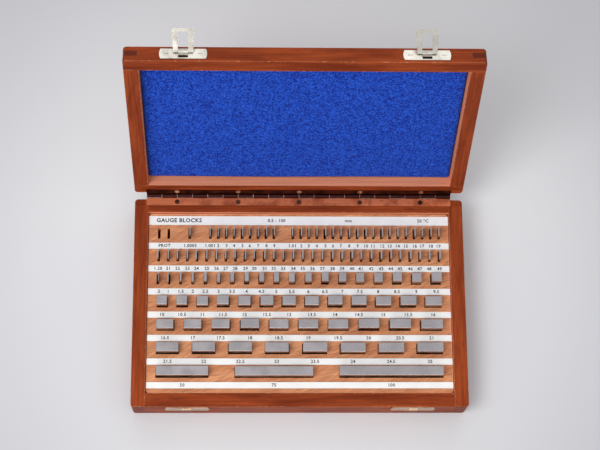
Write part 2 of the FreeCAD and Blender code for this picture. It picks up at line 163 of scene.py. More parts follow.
class Graph:
    """A node tree with short ways to add and join its nodes."""

    def __init__(self, tree: bpy.types.NodeTree) -> None:
        """Keeps the tree to work on."""
        self.tree = tree

    def add(self, kind: str, **settings: object) -> bpy.types.Node:
        """A new node with some of its own settings."""
        node = self.tree.nodes.new(kind)
        for name, value in settings.items():
            setattr(node, name, value)
        return node

    def feed(self, socket: Socket, value: object) -> None:
        """Joins an input to another node's output, or sets it to a constant."""
        if isinstance(value, bpy.types.NodeSocket):
            self.tree.links.new(value, socket)
        else:
            socket.default_value = value

    def maths(self, operation: str, *values: object, clamp: bool = False) -> Socket:
        """The result of a Math node on one to three values."""
        node = self.add("ShaderNodeMath", operation=operation, use_clamp=clamp)
        for socket, value in zip(node.inputs, values):
            self.feed(socket, value)
        return node.outputs[0]

    def vectors(self, operation: str, *values: object) -> bpy.types.Node:
        """A Vector Math node on one or two vectors."""
        node = self.add("ShaderNodeVectorMath", operation=operation)
        for socket, value in zip(node.inputs, values):
            self.feed(socket, value)
        return node

    def split(self, vector: Socket) -> Sequence[Socket]:
        """A vector's X, Y and Z."""
        node = self.add("ShaderNodeSeparateXYZ")
        self.feed(node.inputs[0], vector)
        return node.outputs

    def mapping(self, vector: Socket, shift: Sequence[float] = (0, 0, 0),
                turn: Sequence[float] = (0, 0, 0), scale: Sequence[float] = (1, 1, 1),
                kind: str = "POINT") -> Socket:
        """A vector scaled, turned by degrees and moved, in that order."""
        node = self.add("ShaderNodeMapping", vector_type=kind)
        self.feed(node.inputs["Vector"], vector)
        if kind == "POINT":
            node.inputs["Location"].default_value = tuple(shift)
        node.inputs["Rotation"].default_value = tuple(math.radians(angle) for angle in turn)
        node.inputs["Scale"].default_value = tuple(scale)
        return node.outputs[0]

    def noise(self, vector: Socket, scale: object, detail: float = 2.0, roughness: float = 0.5,
              distortion: float = 0.0) -> Socket:
        """Cloudy noise from 0 to 1."""
        node = self.add("ShaderNodeTexNoise")
        self.feed(node.inputs["Vector"], vector)
        self.feed(node.inputs["Scale"], scale)
        node.inputs["Detail"].default_value = detail
        node.inputs["Roughness"].default_value = roughness
        node.inputs["Distortion"].default_value = distortion
        return node.outputs[0]

    def span(self, value: object, low: object, high: object, start: float = 0.0,
             end: float = 1.0) -> Socket:
        """A value's place between low and high, eased, as start to end."""
        node = self.add("ShaderNodeMapRange", interpolation_type="SMOOTHSTEP")
        for name, given in zip(("Value", "From Min", "From Max", "To Min", "To Max"),
                               (value, low, high, start, end)):
            self.feed(node.inputs[name], given)
        return node.outputs[0]

    def mix(self, amount: object, first: object, second: object) -> Socket:
        """Two colours mixed by an amount."""
        node = self.add("ShaderNodeMix", data_type="RGBA")
        node.clamp_factor = True
        self.feed(node.inputs[0], amount)
        self.feed(node.inputs[6], first)
        self.feed(node.inputs[7], second)
        return node.outputs[2]

    def shade(self, colour: object, tone: object, low: float, high: float) -> Socket:
        """A colour made darker or lighter by a tone of 0 to 1: colour times low to high."""
        factor = self.maths("MULTIPLY_ADD", tone, high - low, low)
        node = self.vectors("SCALE", colour if isinstance(colour, bpy.types.NodeSocket)
                            else tuple(colour)[:3])
        self.feed(node.inputs["Scale"], factor)
        return node.outputs[0]

    def place(self, group: bpy.types.NodeTree, **given: object) -> dict[str, Socket]:
        """Puts a node group in the tree and gives its outputs by name."""
        node = self.add("ShaderNodeGroup", node_tree=group)
        for name, value in given.items():
            self.feed(node.inputs[name.replace("_", " ").title()], value)
        return {output.name.lower().replace(" ", "_"): output for output in node.outputs}


class Effect:
    """A shader node group that several finishes share, built once.

    Attributes:
        name: The group's name.
        inputs: The name, kind and first value of each input.
        outputs: The name of each output, all plain values.
    """

    name: str = ""
    inputs: tuple[tuple[str, str, object], ...] = ()
    outputs: tuple[str, ...] = ()

    def group(self) -> bpy.types.NodeTree:
        """The node group, made the first time that it is asked for."""
        made = bpy.data.node_groups.get(self.name)
        if made:
            return made
        tree = bpy.data.node_groups.new(self.name, "ShaderNodeTree")
        for name, kind, value in self.inputs:
            socket = tree.interface.new_socket(name=name, in_out="INPUT",
                                               socket_type=f"NodeSocket{kind}")
            socket.default_value = value
        for name in self.outputs:
            tree.interface.new_socket(name=name, in_out="OUTPUT", socket_type="NodeSocketFloat")
        graph = Graph(tree)
        given = graph.add("NodeGroupInput").outputs
        results = self.build(graph, {socket.name: socket for socket in given if socket.name})
        ends = graph.add("NodeGroupOutput").inputs
        for name in self.outputs:
            graph.feed(ends[name], results[name])
        return tree

    def build(self, graph: Graph, given: dict[str, Socket]) -> dict[str, Socket]:
        """Joins the group's nodes and gives its outputs by name."""
        raise NotImplementedError


class GrainEffect(Effect):
    """Wood grain along X: wide figure, fine streaks and short dark pores.

    Each is noise whose Y and Z are scaled up, so that its spots are drawn out along X.
    """

    name = "wood_grain"
    inputs = (("Vector", "Vector", (0.0, 0.0, 0.0)), ("Figure Scale", "Float", 14.0),
              ("Streak Scale", "Float", 26.0), ("Pore Scale", "Float", 90.0),
              ("Shift", "Float", 0.0))
    outputs = ("Figure", "Streaks", "Pores", "Height")

    def build(self, graph: Graph, given: dict[str, Socket]) -> dict[str, Socket]:
        """Three stretched noises and the height that the streaks and pores make."""
        offset = graph.vectors("SCALE", (0.31, 0.17, 0.23))
        graph.feed(offset.inputs["Scale"], given["Shift"])
        moved = graph.vectors("ADD", given["Vector"], offset.outputs[0]).outputs[0]
        broad = graph.mapping(moved, scale=(1.0, 6.0, 6.0))
        fine = graph.mapping(moved, scale=(1.0, 34.0, 34.0))
        short = graph.mapping(moved, scale=(1.0, 16.0, 16.0))
        figure = graph.span(graph.noise(broad, given["Figure Scale"], 3.0, 0.55, 0.9), 0.3, 0.7)
        streaks = graph.span(graph.noise(fine, given["Streak Scale"], 4.0, 0.6), 0.28, 0.72)
        pores = graph.span(graph.noise(short, given["Pore Scale"], 1.0), 0.6, 0.72)
        height = graph.maths("SUBTRACT", graph.maths("MULTIPLY", streaks, 0.4), pores)
        return {"Figure": figure, "Streaks": streaks, "Pores": pores, "Height": height}


class EdgeEffect(Effect):
    """The band along a box's edges, whole and broken into chips.

    A point's three distances to the box's faces are put in order. It is near an edge when the
    second smallest is less than the width. The chips are that band where noise is high.
    """

    name = "box_edges"
    inputs = (("Vector", "Vector", (0.0, 0.0, 0.0)), ("Centre", "Vector", (0.0, 0.0, 0.0)),
              ("Half Size", "Vector", (1.0, 1.0, 1.0)), ("Width", "Float", 0.001),
              ("Chip Scale", "Float", 200.0))
    outputs = ("Edge", "Chips")

    def build(self, graph: Graph, given: dict[str, Socket]) -> dict[str, Socket]:
        """The second smallest distance to a face, eased from the width to 0."""
        offset = graph.vectors("SUBTRACT", given["Vector"], given["Centre"]).outputs[0]
        reach = graph.vectors("ABSOLUTE", offset).outputs[0]
        gap = graph.vectors("SUBTRACT", given["Half Size"], reach).outputs[0]
        x, y, z = graph.split(gap)
        low, high = graph.maths("MINIMUM", x, y), graph.maths("MAXIMUM", x, y)
        second = graph.maths("MAXIMUM", low, graph.maths("MINIMUM", high, z))
        edge = graph.span(second, 0.0, given["Width"], 1.0, 0.0)
        chip = graph.span(graph.noise(given["Vector"], given["Chip Scale"], 2.0), 0.56, 0.64)
        return {"Edge": edge, "Chips": graph.maths("MULTIPLY", edge, chip)}


class BrushEffect(Effect):
    """Fine straight lines along X, as lapping, brushing or a saw leaves them."""

    name = "brushed_lines"
    inputs = (("Vector", "Vector", (0.0, 0.0, 0.0)), ("Scale", "Float", 60.0))
    outputs = ("Lines", "Clouds")

    def build(self, graph: Graph, given: dict[str, Socket]) -> dict[str, Socket]:
        """Noise drawn out 30 times along X, and plain noise for slow changes."""
        drawn = graph.mapping(given["Vector"], scale=(1.0, 30.0, 30.0))
        lines = graph.span(graph.noise(drawn, given["Scale"], 3.0, 0.6), 0.25, 0.75)
        clouds = graph.span(graph.noise(given["Vector"], given["Scale"], 2.0), 0.3, 0.7)
        return {"Lines": lines, "Clouds": clouds}


# Finishes.

@dataclass(frozen=True)
class Finish:
    """What every finish shares: a material with one Principled shader.

    Attributes:
        roughness: The middle roughness of the surface.
        specular: The strength of its plain shine.
        metallic: 1 for bare metal and 0 for everything else.
        ior: How strongly its surface bends light.
    """

    roughness: float = 0.5
    specular: float = 0.5
    metallic: float = 0.0
    ior: float = 1.5

    def begin(self, name: str) -> tuple[bpy.types.Material, Graph, bpy.types.Node, Socket]:
        """An empty material, its graph, its shader and the object's own coordinates."""
        material = bpy.data.materials.new(name)
        material.use_nodes = True
        graph = Graph(material.node_tree)
        shader = next(node for node in material.node_tree.nodes
                      if node.type == "BSDF_PRINCIPLED")
        shader.inputs["Specular IOR Level"].default_value = self.specular
        shader.inputs["Roughness"].default_value = self.roughness
        shader.inputs["Metallic"].default_value = self.metallic
        shader.inputs["IOR"].default_value = self.ior
        place = graph.add("ShaderNodeTexCoord").outputs["Object"]
        return material, graph, shader, place

    def bump(self, graph: Graph, shader: bpy.types.Node, height: Socket, strength: float,
             distance: float) -> None:
        """Gives the shader the relief of a height."""
        node = graph.add("ShaderNodeBump")
        node.inputs["Strength"].default_value = strength
        node.inputs["Distance"].default_value = distance
        graph.feed(node.inputs["Height"], height)
        graph.feed(shader.inputs["Normal"], node.outputs[0])

    def vary_roughness(self, graph: Graph, shader: bpy.types.Node, tone: Socket,
                       reach: float) -> None:
        """Spreads the roughness over a reach about its middle, by a tone of 0 to 1."""
        graph.feed(shader.inputs["Roughness"],
                   graph.maths("MULTIPLY_ADD", tone, reach, self.roughness - reach / 2))

    def edges(self, graph: Graph, square: Socket, node: str, leaning: Leaning, width: float,
              chip_scale: float = 200.0) -> dict[str, Socket]:
        """The bands along the edges of a CAD node's box, whole and in chips."""
        low, high = leaning.box(node)
        return graph.place(EdgeEffect().group(), vector=square, centre=tuple((low + high) / 2),
                           half_size=tuple((high - low) / 2), width=width,
                           chip_scale=chip_scale)

    def settle(self, graph: Graph, place: Socket, leaning: Leaning) -> Socket:
        """Coordinates turned to where the lid is shut, so that its pieces stand square."""
        if leaning.angle == 0.0:
            return place
        return graph.mapping(place, leaning.shift, (leaning.angle, 0.0, 0.0))


@dataclass(frozen=True)
class LacqueredWood(Finish):
    """Stained and lacquered case wood, bare on the faces inside the case.

    Attributes:
        body: The stain between the dark bands.
        dark: The stain in the dark bands.
        cut: The stain in end grain.
        bare: The wood of the inside faces.
        worn: The wood that shows at worn edges.
        inside: Half the width and depth of the room between the walls.
    """

    roughness: float = 0.45
    specular: float = 0.16
    ior: float = 1.28
    body: Colour = paint(153, 68, 33)
    dark: Colour = paint(121, 47, 21)
    cut: Colour = paint(98, 40, 26)
    bare: Colour = paint(238, 153, 115)
    worn: Colour = paint(205, 140, 100)
    inside: tuple[float, float] = (148.15 * MM, 90.15 * MM)

    def inner_faces(self, graph: Graph, place: Socket, facing: Socket) -> Socket:
        """1 on the upright faces that look into the case: inside the room and not on a rim."""
        reach = graph.split(graph.vectors("ABSOLUTE", place).outputs[0])
        within = graph.maths("MULTIPLY", *(graph.maths("LESS_THAN", part, half)
                                           for part, half in zip(reach, self.inside)))
        upward = graph.split(graph.vectors("ABSOLUTE", facing).outputs[0])[2]
        upright = graph.maths("LESS_THAN", upward, 0.6)
        return graph.maths("MULTIPLY", within, upright)

    def material(self, node: str, run: Run, leaning: Leaning, shift: float) -> bpy.types.Material:
        """The finish of one wall.

        Args:
            node: The CAD node, whose box gives the edges that wear.
            run: The way of its grain.
            leaning: The turn that stands the piece square.
            shift: Which part of the wood pattern it shows.

        Returns:
            The material.
        """
        material, graph, shader, place = self.begin(f"case_wood_{node}")
        coordinates = place.node
        square = self.settle(graph, place, leaning)
        facing = graph.mapping(coordinates.outputs["Normal"], turn=(leaning.angle, 0.0, 0.0),
                               kind="VECTOR")
        along = graph.mapping(square, turn=(0.0, 0.0, run.value))
        axis = (1.0, 0.0, 0.0) if run is Run.WIDTH else (0.0, 1.0, 0.0)
        across = graph.maths("ABSOLUTE", graph.vectors("DOT_PRODUCT", facing, axis).outputs[1])
        end = graph.span(across, 0.72, 0.86)
        grain = graph.place(GrainEffect().group(), vector=along, figure_scale=11.0,
                            streak_scale=16.0, pore_scale=60.0, shift=shift)
        colour = graph.mix(grain["figure"], self.dark, self.body)
        colour = graph.shade(colour, grain["streaks"], 0.74, 1.20)
        colour = graph.mix(graph.maths("MULTIPLY", grain["pores"], 0.6), colour, self.cut)
        rings = graph.noise(graph.mapping(square, scale=(1.0, 1.0, 2.4)), 420.0, 2.0, 0.6, 0.4)
        colour = graph.mix(end, colour, graph.shade(self.cut, rings, 0.72, 1.25))
        inner = self.inner_faces(graph, square, facing)
        bare = graph.shade(self.bare, grain["streaks"], 0.84, 1.10)
        colour = graph.mix(inner, colour, bare)
        edges = self.edges(graph, square, node, leaning, 1.1 * MM, 240.0)
        colour = graph.mix(graph.maths("MULTIPLY", edges["edge"], 0.16), colour, self.worn)
        colour = graph.mix(graph.maths("MULTIPLY", edges["chips"], 0.55), colour, self.worn)
        graph.feed(shader.inputs["Base Color"], colour)
        clouds = graph.noise(square, 38.0, 3.0)
        rough = graph.maths("MULTIPLY_ADD", clouds, 0.22, self.roughness - 0.11)
        rough = graph.maths("ADD", rough, graph.maths("MULTIPLY", inner, 0.28), clamp=True)
        graph.feed(shader.inputs["Roughness"], rough)
        self.bump(graph, shader, grain["height"], 0.25, 0.06 * MM)
        return material


@dataclass(frozen=True)
class VeneeredBoard(Finish):
    """The thin boards that close the base and the lid, stained like the case.

    Attributes:
        body: The stain between the dark bands.
        dark: The stain in the dark bands.
    """

    roughness: float = 0.4
    specular: float = 0.4
    ior: float = 1.28
    body: Colour = paint(146, 66, 34)
    dark: Colour = paint(122, 50, 24)

    def material(self, node: str, leaning: Leaning, shift: float) -> bpy.types.Material:
        """The finish of one board: cathedral figure along X, and painted shade of the gap along its
        edge.
        """
        material, graph, shader, place = self.begin(f"board_{node}")
        square = self.settle(graph, place, leaning)
        grain = graph.place(GrainEffect().group(), vector=square, figure_scale=7.0,
                            streak_scale=13.0, pore_scale=55.0, shift=shift)
        colour = graph.mix(grain["figure"], self.dark, self.body)
        colour = graph.shade(colour, grain["streaks"], 0.74, 1.20)
        colour = graph.shade(colour, grain["pores"], 1.0, 0.66)
        edges = self.edges(graph, square, node, leaning, 1.0 * MM)
        # Painted shade: the band along the board's edges is darkened for the shade of the gap
        # there.
        colour = graph.shade(colour, edges["edge"], 1.0, 0.55)
        graph.feed(shader.inputs["Base Color"], colour)
        self.vary_roughness(graph, shader, graph.noise(square, 30.0, 3.0), 0.24)
        self.bump(graph, shader, grain["height"], 0.25, 0.06 * MM)
        return material


@dataclass(frozen=True)
class SawnWood(Finish):
    """The tray's orange-brown wood, waxed and not stained, with slanting tool marks.

    Attributes:
        body: The wood between the dark bands.
        dark: The wood in the dark bands.
        painted_edge_highlight: A painted highlight along the rounded edges, where they catch the
            light.
        slant: The angle of the tool marks, in degrees.
    """

    roughness: float = 0.52
    specular: float = 0.35
    body: Colour = paint(223, 153, 106)
    dark: Colour = paint(196, 123, 80)
    painted_edge_highlight: Colour = paint(252, 202, 158)
    slant: float = -38.0

    def material(self, node: str) -> bpy.types.Material:
        """The finish of the tray."""
        material, graph, shader, place = self.begin(f"tray_wood_{node}")
        grain = graph.place(GrainEffect().group(),
                            vector=graph.mapping(place, turn=(0.0, 0.0, -12.0)),
                            figure_scale=16.0, streak_scale=20.0, pore_scale=75.0, shift=4.7)
        marks = graph.place(BrushEffect().group(),
                            vector=graph.mapping(place, turn=(0.0, 0.0, self.slant)), scale=17.0)
        colour = graph.mix(grain["figure"], self.dark, self.body)
        colour = graph.shade(colour, grain["streaks"], 0.88, 1.08)
        colour = graph.shade(colour, marks["lines"], 0.82, 1.13)
        colour = graph.shade(colour, grain["pores"], 1.0, 0.62)
        edges = self.edges(graph, place, node, STILL, 1.5 * MM)
        # Painted highlight: the rounded edges are lightened towards a pale wood colour.
        colour = graph.mix(graph.maths("MULTIPLY", edges["edge"], 0.7), colour, self.painted_edge_highlight)
        graph.feed(shader.inputs["Base Color"], colour)
        self.vary_roughness(graph, shader, marks["clouds"], 0.18)
        relief = graph.maths("ADD", grain["height"], graph.maths("MULTIPLY", marks["lines"], 0.8))
        self.bump(graph, shader, relief, 0.35, 0.08 * MM)
        return material


@dataclass(frozen=True)
class LappedSteel(Finish):
    """Hardened gauge steel, lapped to a dull mirror, with bright broken edges.

    Attributes:
        tint: The steel's reflection at right angles.
        wiped: The same where a film of oil dulls it.
    """

    roughness: float = 0.29
    metallic: float = 1.0
    tint: Colour = paint(182, 177, 178)
    wiped: Colour = paint(173, 168, 169)

    def material(self, name: str, turn: float) -> bpy.types.Material:
        """The finish of a group of blocks.

        Args:
            name: The material's name.
            turn: The angle of the lapping lines, in degrees.

        Returns:
            The material.
        """
        material, graph, shader, place = self.begin(name)
        lines = graph.place(BrushEffect().group(),
                            vector=graph.mapping(place, turn=(0.0, 0.0, turn)), scale=70.0)
        slow = graph.noise(place, 46.0, 2.0)
        colour = graph.mix(graph.span(slow, 0.35, 0.65), self.wiped, self.tint)
        colour = graph.shade(colour, lines["lines"], 0.92, 1.06)
        graph.feed(shader.inputs["Base Color"], colour)
        self.vary_roughness(graph, shader, lines["clouds"], 0.16)
        self.bump(graph, shader, lines["lines"], 0.12, 0.02 * MM)
        return material


@dataclass(frozen=True)
class PrintedPlastic(Finish):
    """The white label strips: satin plastic, faintly mottled.

    Attributes:
        sheet: The clean plastic.
        soiled: The plastic where it is mottled.
    """

    roughness: float = 0.45
    sheet: Colour = paint(248, 248, 246)
    soiled: Colour = paint(226, 226, 224)

    def material(self, name: str) -> bpy.types.Material:
        """The finish of the strips."""
        material, graph, shader, place = self.begin(name)
        clouds = graph.place(BrushEffect().group(), vector=place, scale=90.0)
        speck = graph.span(graph.noise(place, 1500.0, 2.0), 0.66, 0.74)
        colour = graph.mix(graph.maths("MULTIPLY", clouds["clouds"], 0.25), self.sheet,
                           self.soiled)
        colour = graph.mix(graph.maths("MULTIPLY", speck, 0.3), colour, self.soiled)
        graph.feed(shader.inputs["Base Color"], colour)
        self.vary_roughness(graph, shader, clouds["clouds"], 0.14)
        self.bump(graph, shader, clouds["lines"], 0.08, 0.02 * MM)
        return material


@dataclass(frozen=True)
class PrintInk(Finish):
    """Dark screen-printing ink, thinner in places.

    Attributes:
        full: The ink where it covers.
        thin: The ink where the strip shows through.
    """

    roughness: float = 0.55
    full: Colour = paint(26, 25, 28)
    thin: Colour = paint(58, 56, 60)

    def material(self, name: str) -> bpy.types.Material:
        """The finish of the printed numbers."""
        material, graph, shader, place = self.begin(name)
        cover = graph.span(graph.noise(place, 900.0, 3.0), 0.5, 0.75)
        graph.feed(shader.inputs["Base Color"], graph.mix(cover, self.full, self.thin))
        self.vary_roughness(graph, shader, cover, 0.2)
        return material


@dataclass(frozen=True)
class OldBronze(Finish):
    """The piano hinge's bronzed steel: glossy and brown, with painted shade about the pin.

    Attributes:
        bright: The bronze where it is worn.
        patina: The bronze where it is dark.
        barrel: Painted shade on the knuckles about the pin, for their shade and dark reflection.
        knuckle_highlight: A painted highlight at the ends of the knuckles.
        knuckle: The length of a knuckle.
    """

    roughness: float = 0.37
    metallic: float = 1.0
    bright: Colour = paint(238, 139, 93)
    patina: Colour = paint(178, 95, 64)
    barrel: Colour = paint(58, 30, 28)
    knuckle_highlight: Colour = paint(168, 122, 108)
    knuckle: float = 15.0 * MM

    def barrel_colour(self, graph: Graph, place: Socket, colour: Socket) -> Socket:
        """Paints shade on what lies within a knuckle's radius of the pin, and a highlight on the
        knuckles' ends.

        The place along a knuckle is the remainder of X by its length.
        """
        offset = graph.vectors("SUBTRACT", place, LID.pivot).outputs[0]
        across = graph.vectors("MULTIPLY", offset, (0.0, 1.0, 1.0)).outputs[0]
        near = graph.span(graph.vectors("LENGTH", across).outputs[1], 2.3 * MM, 3.0 * MM, 1.0, 0.0)
        along = graph.maths("FRACT", graph.maths("DIVIDE", graph.split(place)[0], self.knuckle))
        end = graph.span(graph.maths("ABSOLUTE", graph.maths("SUBTRACT", along, 0.5)), 0.476, 0.494)
        # Painted shade over the knuckles, and a painted highlight at their ends.
        return graph.mix(near, colour, graph.mix(end, self.barrel, self.knuckle_highlight))

    def material(self, name: str) -> bpy.types.Material:
        """The finish of a leaf of the hinge."""
        material, graph, shader, place = self.begin(name)
        lines = graph.place(BrushEffect().group(), vector=place, scale=24.0)
        patch = graph.span(graph.noise(place, 75.0, 4.0, 0.6), 0.42, 0.66)
        colour = graph.mix(patch, self.bright, self.patina)
        colour = graph.shade(colour, lines["lines"], 0.86, 1.12)
        colour = self.barrel_colour(graph, place, colour)
        graph.feed(shader.inputs["Base Color"], colour)
        self.vary_roughness(graph, shader, patch, 0.18)
        self.bump(graph, shader, lines["clouds"], 0.1, 0.03 * MM)
        return material


@dataclass(frozen=True)
class PlatedMetal(Finish):
    """Plated or bare bright metal: nickel for the latches, steel for pins and screws.

    Attributes:
        tint: The plating's reflection.
        dull: The same where it is worn or oxidised.
        brush: The scale of its brushing lines.
        slit: The half width and half height of the painted shade that stands for the opening a
            latch plate's bridge is pressed out of, and how far below the hasp's pivot it is; none
            if left out.
        shadow: The dark of that painted shade.
    """

    roughness: float = 0.3
    metallic: float = 1.0
    tint: Colour = paint(207, 204, 193)
    dull: Colour = paint(182, 176, 164)
    brush: float = 45.0
    slit: tuple[float, float, float] | None = None
    shadow: Colour = paint(30, 20, 18)

    def slit_mask(self, graph: Graph, square: Socket) -> Socket:
        """1 in the painted shade of each latch plate's opening: the X and Z distances from its
        middle, eased.
        """
        pivot = LID.shut(np.array([joint_named("hasp_right_pivot")["pos_m"]]))[0]
        x, _, z = graph.split(square)
        side = graph.maths("SUBTRACT", graph.maths("ABSOLUTE", x), float(pivot[0]))
        rise = graph.maths("SUBTRACT", z, float(pivot[2]) - self.slit[2])
        masks = [graph.span(graph.maths("ABSOLUTE", value), half - 0.25 * MM, half + 0.05 * MM,
                            1.0, 0.0) for value, half in zip((side, rise), self.slit)]
        return graph.maths("MULTIPLY", *masks)

    def material(self, name: str, leaning: Leaning = STILL) -> bpy.types.Material:
        """The finish of a plated piece."""
        material, graph, shader, place = self.begin(name)
        square = self.settle(graph, place, leaning)
        lines = graph.place(BrushEffect().group(), vector=square, scale=self.brush)
        worn = graph.span(graph.noise(square, 120.0, 3.0), 0.4, 0.7)
        colour = graph.mix(worn, self.tint, self.dull)
        colour = graph.shade(colour, lines["lines"], 0.93, 1.03)
        if self.slit:
            # Painted shade: a dark patch on the plate stands for the opening under its bridge,
            # which is not modelled.
            colour = graph.mix(self.slit_mask(graph, square), colour, self.shadow)
        graph.feed(shader.inputs["Base Color"], colour)
        self.vary_roughness(graph, shader, lines["clouds"], 0.16)
        self.bump(graph, shader, lines["lines"], 0.1, 0.02 * MM)
        return material


@dataclass(frozen=True)
class OpenCellFoam(Finish):
    """Royal blue foam whose open cells show as light struts over pits in painted shade.

    Attributes:
        strut: The blue of the cell walls in the light.
        pit_shade: The painted shade of the holes.
    """

    roughness: float = 0.9
    specular: float = 0.15
    strut: Colour = paint(39, 92, 212)
    pit_shade: Colour = paint(5, 33, 132)

    def material(self, name: str) -> bpy.types.Material:
        """The finish of the foam."""
        material, graph, shader, place = self.begin(name)
        cells = graph.noise(place, 620.0, 2.0, 0.55, 0.6)
        coarse = graph.noise(place, 230.0, 2.0, 0.5)
        fine = graph.noise(place, 1900.0, 2.0, 0.6)
        tone = graph.maths("ADD", graph.maths("MULTIPLY", cells, 0.62),
                           graph.maths("ADD", graph.maths("MULTIPLY", coarse, 0.14),
                                       graph.maths("MULTIPLY", fine, 0.24)))
        light = graph.span(tone, 0.41, 0.61)
        # Painted shade: the holes between the cell walls are coloured dark for the shade in them.
        graph.feed(shader.inputs["Base Color"], graph.mix(light, self.pit_shade, self.strut))
        self.vary_roughness(graph, shader, fine, 0.1)
        shader.inputs["Sheen Weight"].default_value = 0.15
        shader.inputs["Sheen Roughness"].default_value = 0.5
        shader.inputs["Sheen Tint"].default_value = paint(120, 150, 235)
        self.bump(graph, shader, tone, 0.8, 0.6 * MM)
        return material


# Meshes.

def new_piece(name: str, points: np.ndarray, faces: Iterable[Sequence[int]],
              smooth: bool) -> bpy.types.Object:
    """An object at the origin from points in metres and faces.

    Args:
        name: The piece's name.
        points: One point a row.
        faces: The corners of each face.
        smooth: Whether its faces are shaded as one surface.

    Returns:
        The object, in the scene.
    """
    mesh = bpy.data.meshes.new(name)
    mesh.from_pydata(points.tolist(), [], [tuple(face) for face in faces])
    mesh.validate()
    mesh.polygons.foreach_set("use_smooth", np.full(len(mesh.polygons), smooth))
    mesh.update()
    piece = bpy.data.objects.new(name, mesh)
    bpy.context.scene.collection.objects.link(piece)
    return piece


def dress(node: str, material: bpy.types.Material) -> None:
    """Gives a CAD node a finish in each of its material slots."""
    piece = frame["nodes"][node]
    for slot in piece.material_slots:
        slot.material = material
    log.info("%s is finished in %s", node, material.name)


@dataclass
class FoamLiner:
    """The foam sheet pressed into the lid, with a soft face and rounded edges.

    Attributes:
        node: The CAD solid that it stands for.
        step: The distance between the face's grid lines.
        rounding: The radius of the face's edges.
        crown: How far the middle stands over the edges.
        waviness: The height of the slow waves of the face.
        wave: The least length of the slow waves, over a full turn.
        pitting: The height of the open cells of the face.
        finish: The foam's finish.
    """

    node: str = "lid_foam_liner"
    step: float = 1.3 * MM
    rounding: float = 2.6 * MM
    crown: float = 0.8 * MM
    waviness: float = 0.25 * MM
    wave: float = 28.0 * MM
    pitting: float = 0.16 * MM
    finish: OpenCellFoam = field(default_factory=OpenCellFoam)

    def depth_below(self, distance: np.ndarray) -> np.ndarray:
        """How far a rounded edge falls at a distance from it: a quarter circle's height."""
        short = np.clip(self.rounding - distance, 0.0, self.rounding)
        return self.rounding - np.sqrt(self.rounding ** 2 - short ** 2)

    def face(self, x: np.ndarray, y: np.ndarray, half: tuple[float, float]) -> np.ndarray:
        """The height lost from the highest point, over a grid.

        It is the quarter circles at the four edges, the crown's square law towards them, five
        slow sine waves and smoothed seeded noise for the cells.

        Args:
            x: The grid's X, from the middle.
            y: The grid's Y, from the middle.
            half: Half the sheet's width and depth.

        Returns:
            The drop of each grid point.
        """
        chance = np.random.default_rng(11)
        drop = self.depth_below(half[0] - np.abs(x)) + self.depth_below(half[1] - np.abs(y))
        drop += self.crown * np.maximum((x / half[0]) ** 6, (y / half[1]) ** 6)
        for _ in range(5):
            way = chance.uniform(-1.0, 1.0, 2) / self.wave
            drop += self.waviness * 0.4 * (1.0 + np.sin(way[0] * x + way[1] * y
                                                        + chance.uniform(0.0, 6.3)))
        cells = chance.uniform(0.0, 1.0, x.shape)
        cells = (cells + np.roll(cells, 1, 0) + np.roll(cells, 1, 1)) / 3.0
        return drop + self.pitting * 2.0 * cells

    def build(self) -> bpy.types.Object:
        """The closed foam sheet: face grid, straight sides and a flat back."""
        low, high = LID.box(self.node)
        middle, half = (low + high) / 2, (high - low) / 2
        count = [int(2 * size / self.step) + 1 for size in half[:2]]
        across = np.linspace(-half[0], half[0], count[0])
        along = np.linspace(-half[1], half[1], count[1])
        x, y = np.meshgrid(across, along, indexing="ij")
        z = low[2] + np.clip(self.face(x, y, (half[0], half[1])), 0.0, 2 * half[2] * 0.8)
        top = np.stack([x + middle[0], y + middle[1], z], axis=-1).reshape(-1, 3)
        index = np.arange(x.size).reshape(x.shape)
        quads = np.stack([index[:-1, :-1], index[:-1, 1:], index[1:, 1:], index[1:, :-1]],
                         axis=-1).reshape(-1, 4)
        rim = np.concatenate([index[:-1, 0], index[-1, :-1], index[:0:-1, -1], index[0, :0:-1]])
        foot = top[rim].copy()
        foot[:, 2] = high[2]
        below = x.size + np.arange(len(rim))
        centre = x.size + len(rim)
        after = np.roll(rim, -1), np.roll(below, -1)
        sides = np.stack([rim, after[0], after[1], below], axis=-1)
        back = np.stack([below, after[1], np.full(len(rim), centre)], axis=-1)
        points = np.concatenate([top, foot, [[middle[0], middle[1], high[2]]]])
        faces = quads.tolist() + sides.tolist() + back.tolist()
        piece = new_piece("foam_liner", LID.opened(points), faces, smooth=True)
        piece.data.materials.append(self.finish.material("blue_foam"))
        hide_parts(self.node)
        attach(piece, "lid")
        log.info("%s has %d faces and rides on lid", piece.name, len(faces))
        return piece


class Weight(Enum):
    """How heavy printed letters are, as the offset of their outline in parts of their size."""

    LIGHT = 0.025
    HEAVY = 0.03


@dataclass(frozen=True)
class PrintedWord:
    """A word or number on a strip.

    Attributes:
        text: What is printed.
        x: The middle of the word.
        height: The height of its figures.
        weight: How heavy its lines are.
    """

    text: str
    x: float
    height: float
    weight: Weight = Weight.LIGHT


